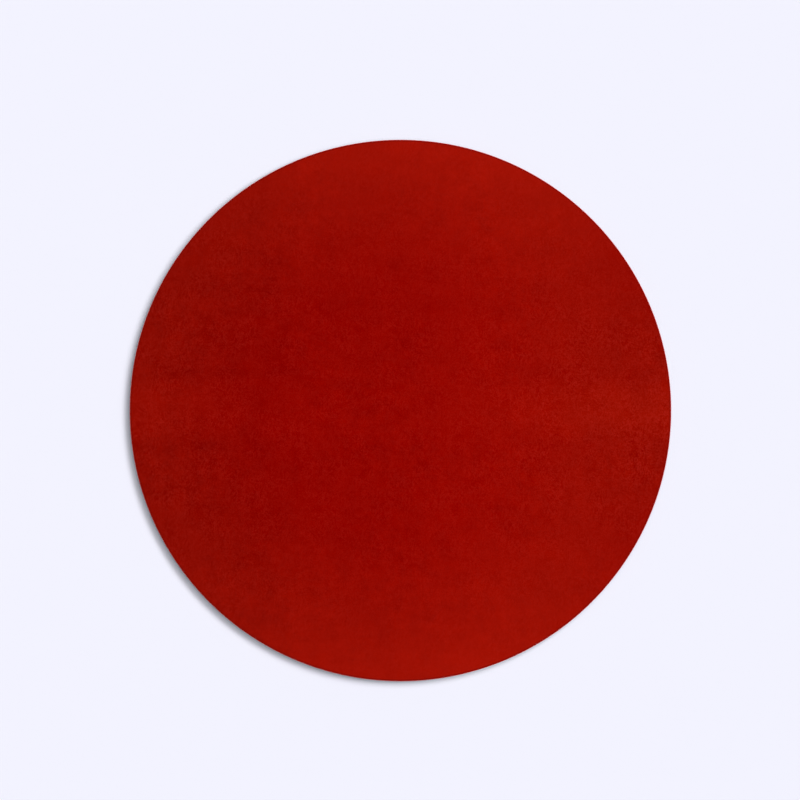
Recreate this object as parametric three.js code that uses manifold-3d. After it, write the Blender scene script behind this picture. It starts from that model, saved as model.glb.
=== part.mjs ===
// Round leatherette mouse pad: a disc die-cut in one stroke from a laminate of four bonded layers.
// Millimetres, +Z up. The origin is the centre of the underside, where the pad lies on the desk.
import * as THREE from "three";
import { mergeVertices } from "three/addons/utils/BufferGeometryUtils.js";
import Module from "manifold-3d";

// Driving dimensions of the laminate
const PAD_DIAMETER = 240;
const BASE_THICKNESS = 2.1; // sponge rubber, tread included
const BOND_THICKNESS = 0.1; // hot-melt film
const CLOTH_THICKNESS = 0.5; // knitted carrier of the leatherette
const SKIN_THICKNESS = 0.3; // grained coat
const SKIN_EDGE_RADIUS = 0.22; // top edge, pressed over by the cutting die
const BASE_CUT_DISH = 0.15; // how far the rubber's cut edge springs back, half-way up

// Driving dimensions of the anti-slip tread: zigzag grooves moulded across the underside
const TREAD_PITCH = 6; // from groove to groove
const TREAD_WAVELENGTH = 16; // along a groove, from crest to crest
const TREAD_SWING = 5; // across a groove, from crest to trough
const TREAD_GROOVE_WIDTH = 1.8; // at the sole, square to the groove
const TREAD_DEPTH = 0.4;
const TREAD_DRAFT_DEG = 30; // lean of the groove's walls

// Facets of the round forms
const RIM_FACETS = 120;
const SKIN_EDGE_FACETS = 3;
const BASE_DISH_FACETS = 4;

// Finishes of the layers
const RUBBER = { color: "#17171a", roughness: 0.85 };
const HOT_MELT = { color: "#c9bfa6", roughness: 0.5 };
const KNIT = { color: "#6e1a16", roughness: 0.95 };
const LEATHERETTE = { color: "#920c04", roughness: 0.6 };

// Heights of the layers' faces, each seated on the one below
const padRadius = PAD_DIAMETER / 2;
const baseTop = BASE_THICKNESS;
const bondTop = baseTop + BOND_THICKNESS;
const clothTop = bondTop + CLOTH_THICKNESS;
const skinTop = clothTop + SKIN_THICKNESS;

const wasm = await Module();
wasm.setup();

// A geometry's closed surface as a solid that can be cut.
function solidOf(geometry) {
  const bare = geometry.clone();
  bare.deleteAttribute("normal");
  bare.deleteAttribute("uv");
  const merged = mergeVertices(bare);
  return new wasm.Manifold(
    new wasm.Mesh({
      numProp: 3,
      vertProperties: merged.getAttribute("position").array,
      triVerts: new Uint32Array(merged.getIndex().array),
    }),
  );
}

function geometryOf(solid) {
  const { vertProperties, triVerts } = solid.getMesh();
  const geometry = new THREE.BufferGeometry();
  geometry.setAttribute("position", new THREE.BufferAttribute(vertProperties, 3));
  geometry.setIndex(new THREE.BufferAttribute(triVerts, 1));
  geometry.computeVertexNormals();
  return geometry;
}

// The edge of a layer, from its bottom to its top: square, or with its top corner rounded as far as its
// thickness allows.
function cutEdge(bottom, top, cornerRadius = 0) {
  const round = Math.min(cornerRadius, top - bottom);
  const foot = new THREE.Vector2(padRadius, bottom);
  if (round === 0) {
    return [foot, new THREE.Vector2(padRadius, top)];
  }
  const corner = new THREE.EllipseCurve(padRadius - round, top - round, round, round, 0, Math.PI / 2);
  return [foot, ...corner.getPoints(SKIN_EDGE_FACETS)];
}

// The edge of the rubber, which is squeezed under the die and springs back a little hollow.
function dishedEdge(bottom, top) {
  const foot = new THREE.Vector2(padRadius, bottom);
  const hollow = new THREE.Vector2(padRadius - 2 * BASE_CUT_DISH, (bottom + top) / 2);
  const head = new THREE.Vector2(padRadius, top);
  return new THREE.QuadraticBezierCurve(foot, hollow, head).getPoints(BASE_DISH_FACETS);
}

// A disc of the laminate whose edge runs through the given points, from its bottom to its top.
function disc(edge) {
  const bottom = edge[0].y;
  const top = edge[edge.length - 1].y;
  const profile = [new THREE.Vector2(0, bottom), ...edge, new THREE.Vector2(0, top)];
  return new THREE.LatheGeometry(profile, RIM_FACETS).rotateX(Math.PI / 2);
}

// The cutter of one groove: a zigzag ribbon with leaning walls that passes clear of the rim at both ends.
// Its crests lie at the given height across the pad, and it reaches as far below the sole as it cuts in.
function grooveCutter(crest) {
  const halfWave = TREAD_WAVELENGTH / 2;
  const slope = Math.atan2(TREAD_SWING, halfWave);
  const lean = TREAD_DEPTH * Math.tan(THREE.MathUtils.degToRad(TREAD_DRAFT_DEG));
  const floorHalf = (TREAD_GROOVE_WIDTH / 2 - lean) / Math.cos(slope);
  const reach = Math.ceil((padRadius + TREAD_WAVELENGTH) / halfWave);
  const near = [];
  const far = [];
  for (let step = -reach; step <= reach; step++) {
    const y = step % 2 === 0 ? crest : crest - TREAD_SWING;
    near.push(new THREE.Vector2(step * halfWave, y - floorHalf));
    far.unshift(new THREE.Vector2(step * halfWave, y + floorHalf));
  }
  const ribbon = new THREE.Shape([...near, ...far]);
  return new THREE.ExtrudeGeometry(ribbon, {
    depth: TREAD_DEPTH,
    bevelThickness: TREAD_DEPTH,
    bevelSize: lean,
    bevelSegments: 1,
  }).translate(0, 0, -TREAD_DEPTH);
}

// The rubber sheet with its tread. A land, not a groove, lies under the pad's centre, and grooves that
// would only graze the rim are left out.
function rubberBase() {
  const margin = TREAD_GROOVE_WIDTH / 2;
  let sheet = solidOf(disc(dishedEdge(0, baseTop)));
  let crest = TREAD_PITCH / 2 - TREAD_PITCH * Math.floor(padRadius / TREAD_PITCH);
  for (; crest + margin < padRadius; crest += TREAD_PITCH) {
    if (crest - TREAD_SWING - margin > -padRadius) {
      sheet = sheet.subtract(solidOf(grooveCutter(crest)));
    }
  }
  return geometryOf(sheet);
}

function mesh(name, geometry, finish) {
  const material = new THREE.MeshStandardMaterial({ ...finish, metalness: 0 });
  const made = new THREE.Mesh(geometry, material);
  made.name = name;
  return made;
}

const pad = new THREE.Group();
pad.name = "mouse_pad";
pad.add(mesh("rubber_base", rubberBase(), RUBBER));
pad.add(mesh("bond_film", disc(cutEdge(baseTop, bondTop)), HOT_MELT));
pad.add(mesh("backing_cloth", disc(cutEdge(bondTop, clothTop)), KNIT));
pad.add(mesh("leather_skin", disc(cutEdge(clothTop, skinTop, SKIN_EDGE_RADIUS)), LEATHERETTE));

export default pad;
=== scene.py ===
"""Looks of a round mouse pad: a grained red leatherette face on a knitted carrier, a hot-melt line and a
sponge rubber sole with a zigzag tread. Metres, +Z up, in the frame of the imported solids."""

import math

import bmesh
import bpy
import numpy as np
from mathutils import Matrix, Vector, noise


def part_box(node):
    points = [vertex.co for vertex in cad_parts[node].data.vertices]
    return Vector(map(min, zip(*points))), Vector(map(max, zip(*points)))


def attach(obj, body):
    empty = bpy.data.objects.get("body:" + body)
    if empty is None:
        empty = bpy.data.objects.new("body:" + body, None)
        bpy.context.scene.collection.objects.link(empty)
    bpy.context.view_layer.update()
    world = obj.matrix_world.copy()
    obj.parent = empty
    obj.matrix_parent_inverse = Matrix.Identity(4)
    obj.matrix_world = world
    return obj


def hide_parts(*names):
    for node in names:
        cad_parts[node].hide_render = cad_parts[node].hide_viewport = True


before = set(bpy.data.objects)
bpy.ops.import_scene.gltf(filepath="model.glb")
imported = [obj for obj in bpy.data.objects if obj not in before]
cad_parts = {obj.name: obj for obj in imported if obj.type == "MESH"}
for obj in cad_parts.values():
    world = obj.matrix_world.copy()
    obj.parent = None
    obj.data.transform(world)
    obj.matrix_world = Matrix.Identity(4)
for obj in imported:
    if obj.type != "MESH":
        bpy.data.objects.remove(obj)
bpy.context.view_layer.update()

MM = 0.001

# Places of the layers, from the solids
skin_bottom, skin_top = (corner.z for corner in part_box("leather_skin"))
cloth_bottom, cloth_top = (corner.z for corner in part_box("backing_cloth"))
film_bottom, film_top = (corner.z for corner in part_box("bond_film"))
sole_bottom, sole_top = (corner.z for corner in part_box("rubber_base"))
pad_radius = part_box("leather_skin")[1].x

# Each layer above the rubber is a flat field out to a margin, and then rows of points round its edge
LAYER_MARGIN = 3 * MM
LAYER_SHARP_ANGLE = math.radians(50)
field_radius = pad_radius - LAYER_MARGIN

# The leather face: a faintly uneven field, and an edge that the cutting die pressed over. The grid of its
# hidden underside is coarser, by a whole number
FACE_CELLS = 200
FACE_UNDER_CELLS = 50
FACE_UNEVENNESS = 0.05 * MM
SWELL = 26 * MM
SWELL_FALLOFF = 1
SWELL_LACUNARITY = 2
SWELL_OCTAVES = 4
EDGE_ROUND = 0.22 * MM
EDGE_ROUND_STEPS = 6
EDGE_SINK = 0.05 * MM
EDGE_SINK_REACH = 0.8 * MM
EDGE_FLAT_ROWS = (2.1 * MM, 1.4 * MM, 0.9 * MM, 0.5 * MM)

# The knitted carrier: two courses of cut yarn ends round its edge, looser in some places than in others
KNIT_CELLS = 64
KNIT_LOOPS = 1024
KNIT_POINTS_PER_LOOP = 4
KNIT_ROWS = 9
KNIT_HOLLOW = 0.12 * MM
KNIT_SET_BACK = 0.02 * MM
KNIT_LOOSE_SHARE = 0.25
KNIT_LOOSE_PATCH = 6 * MM

# The hot-melt line: squeezed unevenly between carrier and rubber, most of all half-way up
FILM_CELLS = 64
FILM_POINTS = 2048
FILM_SET_BACK = 0.09 * MM
FILM_WANDER = 0.06 * MM
FILM_BEADS = 5 * MM
FILM_BULGES = (0.5, 1, 0.5)

# The rubber sole: a hollow cut edge and a moulded zigzag tread
SOLE_DISH = 0.15 * MM
SOLE_EDGE_ROWS = 14
SOLE_EDGE_POINTS = 720
SOLE_SHARP_ANGLE = math.radians(35)
TREAD_PITCH = 6 * MM
TREAD_WAVELENGTH = 16 * MM
TREAD_SWING = 5 * MM
TREAD_GROOVE_WIDTH = 1.8 * MM
TREAD_DEPTH = 0.4 * MM
TREAD_DRAFT = math.radians(30)
TREAD_RISES = (0, 0.2, 0.5, 0.8, 1)
TREAD_CORNER = 1.6 * MM
TREAD_CORNER_POINTS = 5
TREAD_SHOULDER = 0.1 * MM
WELD_GAP = 0.002 * MM

# Layout of the picture maps: a round face with its edge rolled out round it, and the underside in a corner.
# A face that lies hidden under another layer gets a smaller share
MAP_MIDDLE = 0.5
MAP_REACH = 0.49
MAP_CORNER = 0.08
FACE_MAP_SHARE = field_radius / pad_radius
HIDDEN_MAP_SHARE = 0.3
SOLE_MAP_SHARE = 0.92
GLUED_FACING = 0.7
WALL_FACING = 0.4

# In the materials, sizes of patterns are in millimetres. A wash is where a gain starts and ends, in shares
# of the radius, and the gain. A wander is the size of the noise that pushes a pattern about, and its reach.
# A shift takes a pattern from another part of the noise, which goes from 0 to 1 about its middle
NOISE_MIDDLE = 0.5

# Brightness of the leather, about 1: low on the left, and higher at the front and back rims and in a
# streak across the middle, with faint creases beside it
BRIGHTNESS_LEFT = 0.888
SIDE_WASHES = ((-0.53, -0.33, 0.075), (-0.15, 0.35, 0.115), (0.55, 0.9, -0.05))
RIM_WASHES = ((0.4, 0.8, 0.08), (0.75, 1.0, 0.14))
STREAK_WASH = (0.03, 0.14, -1)
STREAK_GAIN = 0.02
STREAK_RIM_GAIN = 0.09
STREAK_RIGHT_WASH = (0.1, 0.5, 0.03)
CREASE_WASHES = ((0.11, 0.135, 1), (0.14, 0.165, -1))
CREASE_SIDE_WASHES = (
    (-0.98, -0.8, -0.025), (-0.55, -0.35, 0.025), (0.25, 0.38, -0.03), (0.52, 0.68, 0.03),
)

# Unevenness of the dye: a mottle that is stronger in some blotches, spots, bands both ways and dark marks
BLOTCH = (45, 45)
BLOTCH_EDGE = (0.35, 0.65)
BLOTCH_SHIFT = 61
MOTTLE = (9, 9)
MOTTLE_DETAIL = 4
MOTTLE_ROUGHNESS = 0.85
MOTTLE_GAINS = (0.19, 0.43)
MOTTLE_SHIFT = 31
SPOT = (18, 18)
SPOT_GAIN = 0.1
LEVEL_BAND = (40, 4)
LEVEL_SHIFT = 7
UPRIGHT_BAND = (4, 40)
UPRIGHT_SHIFT = 23
BAND_GAIN = 0.05
MARK = (26, 26)
MARK_WIDTH = 0.16
MARK_WANDER = ((5, 5), 6)
MARK_LOSS = 0.035

# The leather's grain: pebbles and folds, under short ridges that turn from patch to patch
PEBBLE = (1.2, 1.2)
PEBBLE_CREASE = 0.3
PEBBLE_WANDER = ((2.6, 2.6), 0.9)
PEBBLE_SHARE = 0.35
FOLD = (3.6, 3.6)
FOLD_CREASE = 0.15
FOLD_WANDER = ((5, 5), 3)
FOLD_SHARE = 0.15
RIDGE = (3.2, 1.65)
RIDGE_WIDTH = 0.15
RIDGE_SHIFT = 15
RIDGE_TURNS = (math.radians(35), math.radians(-40), math.radians(80))
RIDGE_PATCH = (7, 7)
RIDGE_PATCH_EDGE = (0.42, 0.56)
RIDGE_PATCH_SHIFT = 40
RIDGE_SHARE = 0.5

# How strongly the grain shows: fading from the left to the middle and towards the front and back rims, and
# stronger where the right end of the streak is rubbed, unevenly from patch to patch
GRAIN_SHOWN = 1.15
FADED_WASH = (0.2, 0.95, -0.45)
MIDDLE_WASH = (-0.8, -0.2, -0.2)
RUBBED_WASH = (0.1, 0.85, 0.62)
RUBBED_REACH_WASH = (0.15, 0.55, -1)
SHOWN_PATCH = (14, 14)
SHOWN_PATCH_EDGE = (0.35, 0.65)
SHOWN_PATCH_GAINS = (0.75, 1.25)
SHOWN_SHIFT = 71

# The leather's colours, from its lowest to its highest brightness, and its surface
DYE_RANGE = (0.7, 1.3)
DYE_COLOURS = ((0.182, 0, 0, 1), (0.353, 0.0034, 0.0009, 1))
LEATHER_ROUGHNESS = (0.7, 0.54)
LEATHER_RELIEF = 0.022 * MM

# Lighter red on the grain's tops and darker red in its creases, which is painted highlight and shade
# standing in part for the grain's relief, and a fine speckle of lighter and darker flecks
FLECK_AND_SHADING_COLOUR = (0.12, 0.0105, 0.0095, 1)
GRAIN_MIDDLE = 0.5
GRAIN_PAINTED_SHADING = 0.345
SPECKLE = (1.6, 1.6)
SPECKLE_FLECKS = 0.16
SPECKLE_SHIFT = 53

# A chalky bloom: towards the rim, less so on the right, and on the rubbed end of the streak
CHALK_COLOUR = (0, 0.0025, 0.0008, 1)
CHALK_WASH = (0.4, 1.05, 1)
CHALK_RIGHT_WASH = (0.5, 0.9, -0.5)
RUBBED_CHALK = 0.6
STREAK_CHALK = 0.6

# The leather's rim: burnished by the die, and a pale line along its cut corner, which is a painted
# highlight that lifts the rounded corner out of its shade
BURNISHED_WASH = (0.9915, 0.9965, 0.6)
BURNISHED_RED = (0.11, 0.003, 0.0015, 1)
CORNER_HIGHLIGHT_WASH = (0.997, 0.9985, 0.8)
CORNER_HIGHLIGHT_RED = (0.6, 0.02, 0.015, 1)

# The carrier's yarns, with painted shade in the creases between them, and their fibres
YARN = (0.36, 0.36)
YARN_CREASE = 0.3
YARN_SHARE = 0.6
FIBRE = (0.05, 0.05)
FIBRE_DETAIL = 2
KNIT_COLOURS = ((0.075, 0.005, 0.004, 1), (0.19, 0.014, 0.011, 1))
KNIT_ROUGHNESS = (0.95, 0.85)
KNIT_RELIEF = 0.06 * MM

# The flow of the hot melt
FLOW = (1.6, 1.6)
FLOW_DETAIL = 3
MELT_COLOURS = ((0.44, 0.37, 0.24, 1), (0.66, 0.60, 0.47, 1))
MELT_ROUGHNESS = (0.4, 0.6)
MELT_RELIEF = 0.02 * MM

# The rubber: large and small pores on its cut wall, darker inside as painted shade, and elsewhere the print
# of a fine cloth under a bloom
CUT_WASH = (0.9965, 0.9975, 1)
PORES = ((0.34, 0.34), (0.17, 0.17))
PORE_WIDTH = 0.4
PORE_PAINTED_SHADE = (0.9, 0)
CLOTH_PITCH = 0.5
CLOTH_SHARE = 0.3
BLOOM = (16, 16)
BLOOM_DETAIL = 4
BLOOM_SHADES = (0.1, 0.7)
RUBBER_COLOURS = ((0.0040, 0.0040, 0.0046, 1), (0.0170, 0.0170, 0.0184, 1))
RUBBER_ROUGHNESS = (0.78, 0.92)
RUBBER_RELIEF = 0.06 * MM

# Sockets of the mix node, for numbers and for colours: its share and its two inputs, and its output
MIX_NUMBERS = (0, 2, 3)
MIX_NUMBER = 0
MIX_COLOURS = (0, 6, 7)
MIX_COLOUR = 2

# The picture frame and the pad's place in it
PHOTO_WIDTH = 800
PAD_CENTRE_PX = (400.5, 410.5)
PAD_RADIUS_PX = 270.8
LENS = 100
SENSOR = 36

# The studio: two keys, a wide fill above them and a dome, as shares of the light that a level surface gets,
# which add up to 1
KEY_SHARE = 0.39
FILL_SHARE = 0.53
DOME_SHARE = 0.08
KEY_AZIMUTHS = (math.radians(16), math.radians(47))
KEY_ELEVATION = math.radians(38.2)
KEY_WIDTH = math.radians(21)
FILL_AZIMUTH = math.radians(31.5)
FILL_ELEVATION = math.radians(64.7)
FILL_WIDTH = math.radians(78)
PALE = (0.896, 0.896, 1, 1)
FLOOR_SIZE = 20
FLOOR_GAP = 0.02 * MM


def disc_grid(cells):
    """A unit disc in even quads: its points, its quads, and the points on its rim, anticlockwise."""
    steps = np.linspace(-1, 1, cells + 1)
    across, along = np.meshgrid(steps, steps)
    wide = np.abs(across) > np.abs(along)
    reach = np.where(wide, across, along)
    other = np.where(wide, along, across)
    share = np.divide(other, reach, out=np.zeros_like(reach), where=reach != 0)
    turn = np.where(wide, share, 2 - share) * math.pi / 4
    points = np.stack([reach * np.cos(turn), reach * np.sin(turn)], axis=-1).reshape(-1, 2)
    index = np.arange(len(points)).reshape(cells + 1, cells + 1)
    corners = (index[:-1, :-1], index[:-1, 1:], index[1:, 1:], index[1:, :-1])
    quads = np.stack([corner.ravel() for corner in corners], axis=1)
    sides = (index[:-1, -1], index[-1, :0:-1], index[:0:-1, 0], index[0, :-1])
    return points, quads, np.concatenate(sides)


def rim_turns(count):
    """Angles round a rim, beginning where a disc grid's rim begins."""
    return np.arange(count) * 2 * math.pi / count - math.pi / 4


def bridge(inner, outer):
    """Faces between a ring of points and the next one out, which has a whole number of points for each."""
    split = len(outer) // len(inner)
    faces = []
    for k, point in enumerate(inner):
        fan = [outer[(k * split + step) % len(outer)] for step in range(split + 1)]
        faces.append([point, *fan, inner[(k + 1) % len(inner)]])
    return faces


def link(name, data):
    """A new object in the scene."""
    made = bpy.data.objects.new(name, data)
    bpy.context.scene.collection.objects.link(made)
    return made


def closed_disc(name, rows, top_cells, bottom_cells, map_share):
    """A closed disc: a quad grid on top and underneath, joined by rows of points round its edge.

    rows holds radius and height for each row and each point round the rim, from the top to the underside,
    and map_share is the part of the picture map's radius that the top grid gets.
    """
    turns = rim_turns(rows.shape[1])
    top, top_quads, top_rim = disc_grid(top_cells)
    bottom, bottom_quads, bottom_rim = disc_grid(bottom_cells)
    first_row = len(top)
    first_bottom = first_row + rows.shape[0] * rows.shape[1]
    rings = np.arange(first_row, first_bottom).reshape(rows.shape[:2])
    edge = np.stack([rows[..., 0] * np.cos(turns), rows[..., 0] * np.sin(turns), rows[..., 1]], axis=-1)
    top_height = rows[0, :, 1].mean()
    bottom_height = rows[-1, :, 1].mean()
    points = np.concatenate([
        np.column_stack([top * field_radius, np.full(len(top), top_height)]),
        edge.reshape(-1, 3),
        np.column_stack([bottom * field_radius, np.full(len(bottom), bottom_height)]),
    ])
    faces = top_quads.tolist() + bridge(top_rim, rings[0])
    for upper, lower in zip(rings, rings[1:]):
        faces += bridge(upper, lower)
    upper_count = len(faces)
    under = (bottom_quads + first_bottom).tolist() + bridge(bottom_rim + first_bottom, rings[-1])
    faces += [face[::-1] for face in under]

    mesh = bpy.data.meshes.new(name)
    mesh.from_pydata(points.tolist(), [], faces)
    mesh.shade_smooth()
    mesh.set_sharp_from_angle(angle=LAYER_SHARP_ANGLE)
    map_disc(mesh, rings, map_share, upper_count)
    return link(name, mesh)


def read_all(items, attribute, width, kind=np.float32):
    """One attribute of all of a mesh's items, as rows of the given width."""
    values = np.empty(len(items) * width, kind)
    items.foreach_get(attribute, values)
    return values.reshape(-1, width)


def store_map(mesh, places):
    """Keeps a picture map, given as a place in it for each face corner."""
    layer = mesh.uv_layers.new(name="OFBake")
    layer.uv.foreach_set("vector", places.astype(np.float32).ravel())


def map_disc(mesh, rings, map_share, upper_count):
    """The picture map of a closed disc: top and edge as one rolled-out disc, the underside in a corner."""
    flat = read_all(mesh.vertices, "co", 3)[:, :2]
    turns = rim_turns(rings.shape[1])
    spokes = np.stack([np.cos(turns), np.sin(turns)], axis=-1)
    spread = np.linspace(map_share, 1, len(rings) + 1)[1:]
    upper = flat / field_radius * map_share
    upper[rings] = spread[:, None, None] * spokes
    upper = MAP_MIDDLE + MAP_REACH * upper
    lower = MAP_CORNER * (1 + flat / pad_radius)
    corners = read_all(mesh.loops, "vertex_index", 1, np.int32)[:, 0]
    first_lower = mesh.polygons[upper_count].loop_start
    store_map(mesh, np.concatenate([upper[corners[:first_lower]], lower[corners[first_lower:]]]))


def ring_noise(turns, wave, height):
    """Smooth noise from -1 to 1 round the rim, with about the given wavelength."""
    reach = pad_radius / wave
    places = [Vector((math.cos(turn) * reach, math.sin(turn) * reach, height)) for turn in turns]
    return np.array([noise.noise(place) for place in places])


def leather_face():
    """The grained coat: a faintly swelling field with a pressed and rounded edge."""
    count = 4 * FACE_CELLS
    flats = [(pad_radius - inset, skin_top - edge_sink(inset)) for inset in EDGE_FLAT_ROWS]
    corner = skin_top - edge_sink(EDGE_ROUND) - EDGE_ROUND
    leans = np.linspace(math.pi / 2, 0, EDGE_ROUND_STEPS + 1)
    rounds = [
        (pad_radius - EDGE_ROUND * (1 - math.cos(lean)), corner + EDGE_ROUND * math.sin(lean))
        for lean in leans
    ]
    profile = np.array([*flats, *rounds, (pad_radius, skin_bottom)])
    rows = np.repeat(profile[:, None, :], count, axis=1)
    face = closed_disc("leather_face", rows, FACE_CELLS, FACE_UNDER_CELLS, FACE_MAP_SHARE)
    for vertex in face.data.vertices:
        if vertex.co.z > corner + EDGE_ROUND / 2:
            place = Vector((vertex.co.x, vertex.co.y, 0)) / SWELL
            swell = noise.fractal(place, SWELL_FALLOFF, SWELL_LACUNARITY, SWELL_OCTAVES)
            vertex.co.z += FACE_UNEVENNESS * (swell - 1) / 2
    return face


def edge_sink(inset):
    """How far the die has pressed the face down, at a distance in from the edge."""
    return EDGE_SINK * math.exp(-inset / EDGE_SINK_REACH)


def knit_carrier():
    """The cloth, with two courses of cut yarn ends bulging round its edge, half a loop apart."""
    count = KNIT_LOOPS * KNIT_POINTS_PER_LOOP
    turns = rim_turns(count)
    rows = []
    for share in np.linspace(1, 0, KNIT_ROWS):
        offset = 0 if share > 0.5 else math.pi
        wave = (1 + np.cos(KNIT_LOOPS * turns + offset)) / 2
        belly = abs(math.sin(2 * math.pi * share))
        loose = 1 - KNIT_LOOSE_SHARE * (1 - ring_noise(turns, KNIT_LOOSE_PATCH, share))
        hollow = KNIT_HOLLOW * (1 - belly * wave * loose)
        height = cloth_bottom + (cloth_top - cloth_bottom) * share
        rows.append(np.stack([pad_radius - KNIT_SET_BACK - hollow, np.full(count, height)], axis=-1))
    return closed_disc("knit_carrier", np.array(rows), KNIT_CELLS, KNIT_CELLS, HIDDEN_MAP_SHARE)


def bond_line():
    """The adhesive film, which ends just inside the cut in an uneven line."""
    turns = rim_turns(FILM_POINTS)
    wander = FILM_WANDER * ring_noise(turns, FILM_BEADS, 0)
    heights = (film_top, (film_bottom + film_top) / 2, film_bottom)
    rows = [
        np.stack([pad_radius - FILM_SET_BACK + wander * bulge, np.full(FILM_POINTS, height)], axis=-1)
        for height, bulge in zip(heights, FILM_BULGES)
    ]
    return closed_disc("bond_line", np.array(rows), FILM_CELLS, FILM_CELLS, HIDDEN_MAP_SHARE)


def zigzag():
    """Places along the tread's wave, with rounded corners: distances and how far the wave has fallen."""
    half = TREAD_WAVELENGTH / 2
    slope = TREAD_SWING / half
    reach = math.ceil(pad_radius / half) + 1
    wave = []
    for step in range(-reach, reach + 1):
        crest = step % 2 == 0
        for share in np.linspace(-1, 1, TREAD_CORNER_POINTS):
            rounding = slope * TREAD_CORNER * (share * share + 1) / 2
            fall = rounding if crest else TREAD_SWING - rounding
            wave.append((step * half + share * TREAD_CORNER, fall))
    return np.array(wave)


def tread_section():
    """Heights across the tread, as offsets and heights: level lands and grooves with soft leaning walls."""
    steep = math.cos(math.atan2(TREAD_SWING, TREAD_WAVELENGTH / 2))
    mouth = TREAD_GROOVE_WIDTH / 2 + TREAD_SHOULDER
    floor = TREAD_GROOVE_WIDTH / 2 - TREAD_DEPTH * math.tan(TREAD_DRAFT) - TREAD_SHOULDER
    rises = np.array(TREAD_RISES)
    heights = TREAD_DEPTH * rises * rises * (3 - 2 * rises)
    insets = (mouth + (floor - mouth) * rises) / steep
    reach = math.ceil((pad_radius + TREAD_SWING) / TREAD_PITCH) + 1
    section = []
    for k in range(-reach, reach):
        middle = (k + 0.5) * TREAD_PITCH
        section += [(middle - inset, height) for inset, height in zip(insets, heights)]
        section += [(middle + inset, height) for inset, height in zip(insets[::-1], heights[::-1])]
    return np.array(section)


def tread_slab():
    """A slab, wider than the pad, with the tread moulded across its underside."""
    wave = zigzag()
    section = tread_section()
    columns = len(wave)
    rows = len(section)
    x = np.repeat(wave[:, 0], rows)
    y = np.tile(section[:, 0], columns) - np.repeat(wave[:, 1], rows)
    z = sole_bottom + np.tile(section[:, 1], columns)
    under = np.stack([x, y, z], axis=-1)
    index = np.arange(columns * rows).reshape(columns, rows)
    roof_near = np.arange(columns) + columns * rows
    roof_far = roof_near + columns
    ends = [(wave[:, 0], section[end, 0] - wave[:, 1], np.full(columns, sole_top)) for end in (0, -1)]
    points = np.concatenate([under, *(np.stack(end, axis=-1) for end in ends)])
    quads = np.stack([index[:-1, :-1], index[:-1, 1:], index[1:, 1:], index[1:, :-1]], axis=-1)
    faces = quads.reshape(-1, 4).tolist()
    for a in range(columns - 1):
        b = a + 1
        faces.append([roof_near[a], roof_near[b], roof_far[b], roof_far[a]])
        faces.append([index[a, 0], index[b, 0], roof_near[b], roof_near[a]])
        faces.append([index[b, -1], index[a, -1], roof_far[a], roof_far[b]])
    faces.append([*index[0, ::-1], roof_near[0], roof_far[0]])
    faces.append([*index[-1], roof_far[-1], roof_near[-1]])
    mesh = bpy.data.meshes.new("tread_slab")
    mesh.from_pydata(points.tolist(), [], faces)
    return link("tread_slab", mesh)


def die_cutter():
    """The round outline that the die cuts, hollow half-way up, and reaching clear of the rubber's faces."""
    turns = rim_turns(SOLE_EDGE_POINTS)
    thickness = sole_top - sole_bottom
    profile = [(pad_radius, sole_bottom - thickness)]
    for share in np.linspace(0, 1, SOLE_EDGE_ROWS):
        profile.append((pad_radius - SOLE_DISH * 4 * share * (1 - share), sole_bottom + thickness * share))
    profile.append((pad_radius, sole_top + thickness))
    rings = [[(r * math.cos(t), r * math.sin(t), z) for t in turns] for r, z in profile]
    index = np.arange(len(profile) * SOLE_EDGE_POINTS).reshape(len(profile), SOLE_EDGE_POINTS)
    faces = [index[0, ::-1].tolist(), index[-1].tolist()]
    for lower, upper in zip(index, index[1:]):
        faces += [face[::-1] for face in bridge(lower, upper)]
    mesh = bpy.data.meshes.new("die_cutter")
    mesh.from_pydata([point for ring in rings for point in ring], [], faces)
    return link("die_cutter", mesh)


def rubber_sole():
    """The sponge rubber: the treaded slab, cut round."""
    slab = tread_slab()
    cutter = die_cutter()
    cut = slab.modifiers.new("die", "BOOLEAN")
    cut.operation = "INTERSECT"
    cut.solver = "MANIFOLD"
    cut.object = cutter
    graph = bpy.context.evaluated_depsgraph_get()
    mesh = bpy.data.meshes.new_from_object(slab.evaluated_get(graph))
    for tool in (slab, cutter):
        bpy.data.meshes.remove(tool.data)
    mesh.name = "rubber_sole"
    weld(mesh, WELD_GAP)
    mesh.shade_smooth()
    mesh.set_sharp_from_angle(angle=SOLE_SHARP_ANGLE)
    map_sole(mesh)
    return link("rubber_sole", mesh)


def weld(mesh, gap):
    """Joins points that lie closer together than the gap."""
    made = bmesh.new()
    made.from_mesh(mesh)
    bmesh.ops.remove_doubles(made, verts=made.verts, dist=gap)
    made.to_mesh(mesh)
    made.free()


def map_sole(mesh):
    """The picture map of the sole: the tread flat, the cut wall a ring round it, the glued side small."""
    corners = read_all(mesh.loops, "vertex_index", 1, np.int32)[:, 0]
    places = read_all(mesh.vertices, "co", 3)[corners]
    counts = read_all(mesh.polygons, "loop_total", 1, np.int32)[:, 0]
    facing = np.repeat(read_all(mesh.polygons, "normal", 3)[:, 2], counts)[:, None]
    flat = places[:, :2] / pad_radius
    height = (places[:, 2:] - sole_bottom) / (sole_top - sole_bottom)
    reach = np.linalg.norm(flat, axis=1, keepdims=True)
    ring = flat / np.maximum(reach, SOLE_MAP_SHARE) * (SOLE_MAP_SHARE + (1 - SOLE_MAP_SHARE) * height)
    glued = facing > GLUED_FACING
    wall = (abs(facing) < WALL_FACING) & (reach > SOLE_MAP_SHARE)
    treaded = np.where(wall, ring, flat * SOLE_MAP_SHARE)
    store_map(mesh, np.where(glued, MAP_CORNER * (1 + flat), MAP_MIDDLE + MAP_REACH * treaded))


def dress(piece, node, material):
    """A piece takes a solid's place, moves with the pad and gets its finish."""
    piece.data.materials.clear()
    piece.data.materials.append(material)
    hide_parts(node)
    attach(piece, "root")
    return piece


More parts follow.
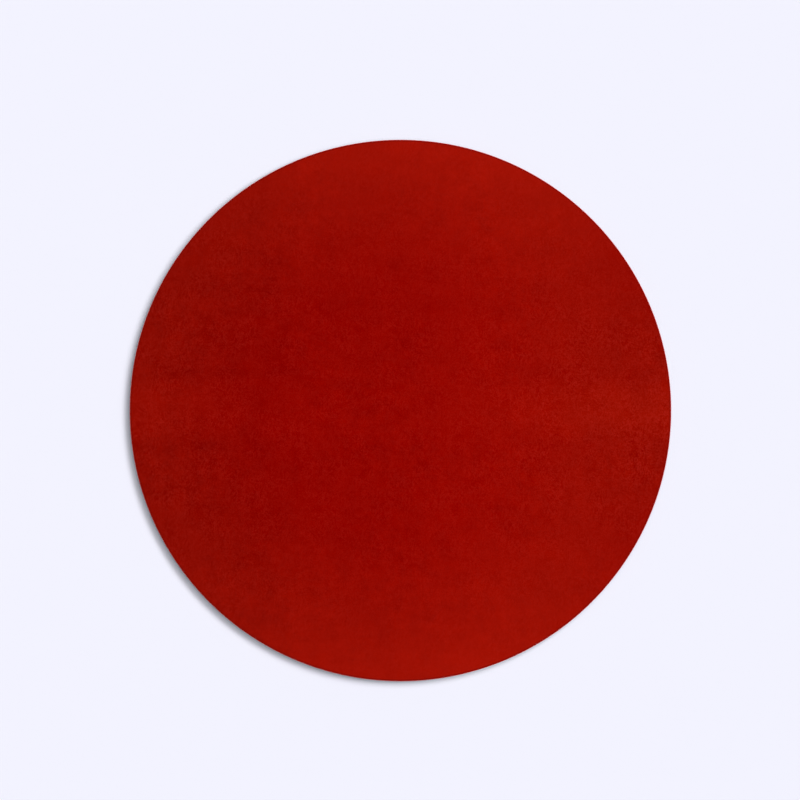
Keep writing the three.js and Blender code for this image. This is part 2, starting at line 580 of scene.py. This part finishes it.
class Field:
    """A number that varies over a surface, as a shader node's output, with plain arithmetic."""

    def __init__(self, shader, socket):
        self.shader = shader
        self.socket = socket

    def __add__(self, other):
        return self.shader.math("ADD", self, other)

    def __sub__(self, other):
        return self.shader.math("SUBTRACT", self, other)

    def __mul__(self, other):
        return self.shader.math("MULTIPLY", self, other)

    def __abs__(self):
        return self.shader.math("ABSOLUTE", self, 0.0)

    __radd__ = __add__
    __rmul__ = __mul__


class Shader:
    """A material's node tree. Its places are the piece's own, in millimetres."""

    def __init__(self, name, dimensions="3D"):
        self.dimensions = dimensions
        self.material = bpy.data.materials.new(name)
        self.material.use_nodes = True
        self.tree = self.material.node_tree
        self.surface = self.tree.nodes["Principled BSDF"]
        metres = self.node("ShaderNodeTexCoord").outputs["Object"]
        scaled = self.node("ShaderNodeVectorMath", {"Vector": metres, "Scale": 1 / MM}, operation="SCALE")
        self.place = scaled.outputs["Vector"]
        split = self.node("ShaderNodeSeparateXYZ", {"Vector": self.place})
        self.x, self.y = (Field(self, split.outputs[axis]) for axis in "XY")

    def node(self, kind, inputs=None, **settings):
        """A new node with these settings, and its inputs fed."""
        made = self.tree.nodes.new(kind)
        for name, value in settings.items():
            setattr(made, name, value)
        for name, value in (inputs or {}).items():
            self.feed(made.inputs[name], value)
        return made

    def feed(self, socket, value):
        """Links a field or another node's output to a socket, or sets a plain value there."""
        if isinstance(value, Field):
            value = value.socket
        if isinstance(value, bpy.types.NodeSocket):
            self.tree.links.new(value, socket)
        else:
            socket.default_value = value

    def finish(self, **sockets):
        """The material, once these sockets of its surface are fed."""
        for name, value in sockets.items():
            self.feed(self.surface.inputs[name.replace("_", " ")], value)
        return self.material

    def math(self, operation, first, second):
        """One step of arithmetic."""
        made = self.node("ShaderNodeMath", {0: first, 1: second}, operation=operation)
        return Field(self, made.outputs["Value"])

    def share(self, value, low, high):
        """value's way from low to high, in even steps."""
        return (value - low) * (1 / (high - low))

    def ease(self, value, low, high, to_low=0.0, to_high=1.0):
        """value's way from low to high, eased at both ends."""
        spans = {"Value": value, "From Min": low, "From Max": high, "To Min": to_low, "To Max": to_high}
        made = self.node("ShaderNodeMapRange", spans, interpolation_type="SMOOTHSTEP")
        return Field(self, made.outputs["Result"])

    def mix(self, share, first, second):
        """A number that goes from the first to the second."""
        inputs = dict(zip(MIX_NUMBERS, (share, first, second)))
        return Field(self, self.node("ShaderNodeMix", inputs).outputs[MIX_NUMBER])

    def blend(self, share, first, second, kind="MIX"):
        """A colour that goes from the first to the second, or gains or loses a share of the second."""
        inputs = dict(zip(MIX_COLOURS, (share, first, second)))
        settings = {"data_type": "RGBA", "blend_type": kind, "clamp_factor": kind == "MIX"}
        return self.node("ShaderNodeMix", inputs, **settings).outputs[MIX_COLOUR]

    def reach(self):
        """Distance from the pad's axis, in shares of its radius."""
        return self.math("SQRT", self.x * self.x + self.y * self.y, 0.0) * (MM / pad_radius)

    def across(self):
        """Distance to the right of the pad's middle, in shares of its radius."""
        return self.x * (MM / pad_radius)

    def along(self):
        """Distance to the front or back of the pad's middle, in shares of its radius."""
        return abs(self.y) * (MM / pad_radius)

    def wash(self, place, wash):
        """A gain that sets in from one place to another."""
        start, end, gain = wash
        return self.ease(place, start, end, 0.0, gain)

    def washes(self, place, washes):
        """The sum of several gains."""
        return sum(self.wash(place, wash) for wash in washes)

    def drawn(self, size, turn=0.0, shift=0.0, place=None):
        """Places measured in patches of the given length and width, turned, and shifted to a new part."""
        inputs = {
            "Vector": place or self.place,
            "Location": (shift, -shift, 0),
            "Rotation": (0, 0, turn),
            "Scale": (*size, size[1]),
        }
        return self.node("ShaderNodeMapping", inputs, vector_type="TEXTURE").outputs["Vector"]

    def noise(self, place, detail=2.0, roughness=0.5):
        """Soft noise, both as a number and as a colour."""
        inputs = {"Vector": place, "Scale": 1, "Detail": detail, "Roughness": roughness}
        return self.node("ShaderNodeTexNoise", inputs, noise_dimensions=self.dimensions)

    def clouds(self, size, detail=1.0, roughness=0.5, turn=0.0, shift=0.0):
        """Soft noise from 0 to 1 in patches of the given length and width."""
        return Field(self, self.noise(self.drawn(size, turn, shift), detail, roughness).outputs["Fac"])

    def ripple(self, size, *detail, **drawn):
        """Soft noise above and below 0, in such patches."""
        return self.clouds(size, *detail, **drawn) - NOISE_MIDDLE

    def warped(self, size, reach):
        """Places pushed about by soft noise, so that a pattern's lines wander."""
        push = self.noise(self.drawn(size)).outputs["Color"]
        inputs = {0: push, 1: (NOISE_MIDDLE, NOISE_MIDDLE, NOISE_MIDDLE)}
        centred = self.node("ShaderNodeVectorMath", inputs, operation="SUBTRACT").outputs["Vector"]
        inputs = {0: centred, 1: (reach, reach, reach), 2: self.place}
        return self.node("ShaderNodeVectorMath", inputs, operation="MULTIPLY_ADD").outputs["Vector"]

    def spacing(self, size, feature, place):
        """Distances to the edges or middles of cells of about the given length and width."""
        inputs = {"Vector": self.drawn(size, place=place), "Scale": 1}
        settings = {"feature": feature, "voronoi_dimensions": self.dimensions}
        return self.node("ShaderNodeTexVoronoi", inputs, **settings).outputs["Distance"]

    def cells(self, size, crease, place=None):
        """Rounded cells: 1 on top, and 0 along the creases between them."""
        return self.ease(self.spacing(size, "DISTANCE_TO_EDGE", place), 0.0, crease)

    def pits(self, size, width, place=None):
        """Round pits, one in each cell: 1 in the middle of each, and 0 between them."""
        return self.ease(self.spacing(size, "F1", place), width / 2, width, 1.0, 0.0)

    def relief(self, height, depth):
        """The surface's normal with this relief, whose full depth is given in metres."""
        return self.node("ShaderNodeBump", {"Height": height, "Distance": depth}).outputs["Normal"]


def leather_grain(s):
    """Height of the embossed grain: pebbles and folds between wandering creases, and short ridges."""
    pebbles = s.cells(PEBBLE, PEBBLE_CREASE, s.warped(*PEBBLE_WANDER))
    folds = s.cells(FOLD, FOLD_CREASE, s.warped(*FOLD_WANDER))
    ridges = 0.0
    for turn in RIDGE_TURNS:
        patch = s.ease(s.clouds(RIDGE_PATCH, shift=RIDGE_PATCH_SHIFT * turn), *RIDGE_PATCH_EDGE)
        line = abs(s.ripple(RIDGE, turn=turn, shift=RIDGE_SHIFT * turn))
        ridges = s.mix(patch, ridges, s.ease(line, 0.0, RIDGE_WIDTH, 1.0, 0.0))
    return PEBBLE_SHARE * pebbles + FOLD_SHARE * folds + RIDGE_SHARE * ridges


def streak(s):
    """The level streak across the middle: 1 along it, and 0 to its front and back."""
    return 1 + s.wash(s.along(), STREAK_WASH)


def rubbed_end(s):
    """How strongly the right end of the streak is rubbed, from place to place."""
    return s.wash(s.across(), RUBBED_WASH) * (1 + s.wash(s.along(), RUBBED_REACH_WASH))


def grain_shown(s):
    """How strongly the grain shows, from place to place."""
    shown = GRAIN_SHOWN + s.wash(s.along(), FADED_WASH) + s.wash(s.across(), MIDDLE_WASH) + rubbed_end(s)
    return shown * s.ease(s.clouds(SHOWN_PATCH, shift=SHOWN_SHIFT), *SHOWN_PATCH_EDGE, *SHOWN_PATCH_GAINS)


def leather_brightness(s):
    """Brightness of the leather: its slow changes across the face, and the dye's unevenness."""
    across = s.across()
    along = s.along()
    dye = BRIGHTNESS_LEFT + s.washes(along, RIM_WASHES) + s.washes(across, SIDE_WASHES)
    gain = STREAK_GAIN + STREAK_RIM_GAIN * (across * across) + s.wash(across, STREAK_RIGHT_WASH)
    creases = s.washes(along, CREASE_WASHES) * s.washes(across, CREASE_SIDE_WASHES)
    return dye + streak(s) * gain + creases + dye_mottle(s)


def dye_mottle(s):
    """Unevenness of the dye: mottled blotches, spots, bands both ways and dark marks."""
    strength = s.ease(s.clouds(BLOTCH, shift=BLOTCH_SHIFT), *BLOTCH_EDGE, *MOTTLE_GAINS)
    mottle = strength * s.ripple(MOTTLE, MOTTLE_DETAIL, MOTTLE_ROUGHNESS, shift=MOTTLE_SHIFT)
    bands = s.ripple(LEVEL_BAND, shift=LEVEL_SHIFT) + s.ripple(UPRIGHT_BAND, shift=UPRIGHT_SHIFT)
    marks = s.pits(MARK, MARK_WIDTH, s.warped(*MARK_WANDER))
    return mottle + SPOT_GAIN * s.ripple(SPOT) + BAND_GAIN * bands - MARK_LOSS * marks


def grain_shading_and_flecks(s, grain, shown):
    """Painted highlight and shade along the grain, and a speckle of lighter and darker flecks, as shares of
    their colour.
    """
    speckle = s.ripple(SPECKLE, shift=SPECKLE_SHIFT)
    return shown * (GRAIN_PAINTED_SHADING * (grain - GRAIN_MIDDLE) + SPECKLE_FLECKS * speckle)


def leather_chalk(s):
    """The chalky bloom, as shares of its colour."""
    rim = s.wash(s.reach(), CHALK_WASH) * (1 + s.wash(s.across(), CHALK_RIGHT_WASH))
    return rim + rubbed_end(s) * (RUBBED_CHALK + STREAK_CHALK * streak(s))


def red_leatherette():
    """The coat: dyed, flecked, with painted highlight and shade along its grain, a little chalky, burnished
    at its rim, and with a painted highlight along its cut corner.
    """
    s = Shader("red_leatherette", "2D")
    grain = leather_grain(s)
    shown = grain_shown(s)
    colour = s.blend(s.share(leather_brightness(s), *DYE_RANGE), *DYE_COLOURS)
    # Painted highlight on the grain's tops and painted shade in its creases, with a random speckle
    colour = s.blend(grain_shading_and_flecks(s, grain, shown), colour, FLECK_AND_SHADING_COLOUR, "ADD")
    colour = s.blend(leather_chalk(s), colour, CHALK_COLOUR, "ADD")
    colour = s.blend(s.wash(s.reach(), BURNISHED_WASH), colour, BURNISHED_RED)
    # A pale line along the cut corner: a painted highlight that lifts the rounded corner out of its shade
    colour = s.blend(s.wash(s.reach(), CORNER_HIGHLIGHT_WASH), colour, CORNER_HIGHLIGHT_RED)
    return s.finish(
        Base_Color=colour,
        Roughness=s.mix(grain, *LEATHER_ROUGHNESS),
        Specular_IOR_Level=0.1,
        Specular_Tint=(1, 0.08, 0.04, 1),
        Normal=s.relief(shown * grain, LEATHER_RELIEF),
    )


def carrier_knit():
    """Cut yarns in two reds, the darker one in the creases between the yarns as painted shade, with fibres
    over them.
    """
    s = Shader("carrier_knit")
    yarns = s.cells(YARN, YARN_CREASE)
    # The darker red along the creases between the yarns is painted shade
    share = YARN_SHARE * yarns + (1 - YARN_SHARE) * s.clouds(FIBRE, FIBRE_DETAIL)
    return s.finish(
        Base_Color=s.blend(share, *KNIT_COLOURS),
        Roughness=s.mix(yarns, *KNIT_ROUGHNESS),
        Specular_IOR_Level=0.2,
        Sheen_Weight=0.2,
        Sheen_Roughness=0.5,
        Normal=s.relief(share, KNIT_RELIEF),
    )


def hot_melt():
    """Straw-coloured adhesive, paler where it has flowed together."""
    s = Shader("hot_melt")
    flow = s.clouds(FLOW, FLOW_DETAIL)
    return s.finish(
        Base_Color=s.blend(flow, *MELT_COLOURS),
        Roughness=s.mix(flow, *MELT_ROUGHNESS),
        Specular_IOR_Level=0.4,
        Normal=s.relief(flow, MELT_RELIEF),
    )


def black_rubber():
    """Sponge rubber: open pores on the cut wall, with painted shade inside them, and elsewhere a skin cured
    against a fine cloth.
    """
    s = Shader("black_rubber")
    cut = s.wash(s.reach(), CUT_WASH)
    large, small = (s.pits(size, PORE_WIDTH) for size in PORES)
    pores = s.math("MAXIMUM", large, small)
    threads = 2 * math.pi / CLOTH_PITCH
    cloth = s.math("SINE", s.x * threads, 0.0) * s.math("SINE", s.y * threads, 0.0)
    bloom = s.clouds(BLOOM, BLOOM_DETAIL)
    # Inside the pores the colour goes to the darkest rubber: painted shade in the pits
    share = s.mix(cut, s.mix(bloom, *BLOOM_SHADES), s.mix(pores, *PORE_PAINTED_SHADE))
    return s.finish(
        Base_Color=s.blend(share, *RUBBER_COLOURS),
        Roughness=s.mix(share, *RUBBER_ROUGHNESS),
        Specular_IOR_Level=0.35,
        Normal=s.relief(s.mix(cut, CLOTH_SHARE * cloth, -1 * pores), RUBBER_RELIEF),
    )


def pale_floor():
    """A wide level floor of one pale colour, just under the sole."""
    half = FLOOR_SIZE / 2
    low = sole_bottom - FLOOR_GAP
    mesh = bpy.data.meshes.new("floor")
    corners = [(-half, -half, low), (half, -half, low), (half, half, low), (-half, half, low)]
    mesh.from_pydata(corners, [], [(0, 1, 2, 3)])
    material = bpy.data.materials.new("pale_floor")
    material.use_nodes = True
    surface = material.node_tree.nodes["Principled BSDF"]
    surface.inputs["Base Color"].default_value = PALE
    surface.inputs["Roughness"].default_value = 1
    surface.inputs["Specular IOR Level"].default_value = 0
    mesh.materials.append(material)
    link("floor", mesh)


def soft_sun(name, azimuth, elevation, share, width, glare):
    """A wide lamp, far away, that gives a level surface this share of its light, with or without glare."""
    lamp = bpy.data.lights.new(name, "SUN")
    lamp.energy = share * math.pi / math.sin(elevation)
    lamp.angle = width
    towards = Vector((
        math.cos(elevation) * math.cos(azimuth),
        math.cos(elevation) * math.sin(azimuth),
        math.sin(elevation),
    ))
    placed = link(name, lamp)
    placed.visible_glossy = glare
    placed.rotation_mode = "QUATERNION"
    placed.rotation_quaternion = towards.to_track_quat("Z", "Y")


def studio_world():
    """A dim white dome that lights the pad, seen and mirrored as the pale backdrop."""
    world = bpy.data.worlds.new("studio")
    world.use_nodes = True
    bpy.context.scene.world = world
    nodes = world.node_tree.nodes
    links = world.node_tree.links
    rays = nodes.new("ShaderNodeLightPath")
    seen = rays.outputs["Is Camera Ray"]
    for kind in ("Is Glossy Ray", "Is Transmission Ray"):
        either = nodes.new("ShaderNodeMath")
        either.operation = "MAXIMUM"
        links.new(seen, either.inputs[0])
        links.new(rays.outputs[kind], either.inputs[1])
        seen = either.outputs["Value"]
    choice = nodes.new("ShaderNodeMix")
    choice.data_type = "RGBA"
    share, dome, backdrop = (choice.inputs[socket] for socket in MIX_COLOURS)
    links.new(seen, share)
    dome.default_value = (DOME_SHARE, DOME_SHARE, DOME_SHARE, 1)
    backdrop.default_value = PALE
    links.new(choice.outputs[MIX_COLOUR], nodes["Background"].inputs["Color"])


def overhead_camera():
    """The camera looks straight down, with the pad at its place in the picture."""
    metres_per_px = pad_radius / PAD_RADIUS_PX
    across, down = (place - PHOTO_WIDTH / 2 for place in PAD_CENTRE_PX)
    data = bpy.data.cameras.new("camera")
    data.lens = LENS
    data.sensor_width = SENSOR
    camera = link("camera", data)
    height = PHOTO_WIDTH * metres_per_px * LENS / SENSOR
    camera.location = (-across * metres_per_px, down * metres_per_px, skin_top + height)
    bpy.context.scene.camera = camera


def build_pad():
    """The four layers in their finishes: three sheets, each laid on the next one down, and a firm sole."""
    face = dress(leather_face(), "leather_skin", red_leatherette())
    knit = dress(knit_carrier(), "backing_cloth", carrier_knit())
    line = dress(bond_line(), "bond_film", hot_melt())
    sole = dress(rubber_sole(), "rubber_base", black_rubber())


overhead_camera()
build_pad()
pale_floor()
for azimuth in KEY_AZIMUTHS:
    soft_sun("key", azimuth, KEY_ELEVATION, KEY_SHARE / len(KEY_AZIMUTHS), KEY_WIDTH, glare=True)
soft_sun("fill", FILL_AZIMUTH, FILL_ELEVATION, FILL_SHARE, FILL_WIDTH, glare=False)
studio_world()
bpy.context.scene.view_settings.view_transform = "Standard"
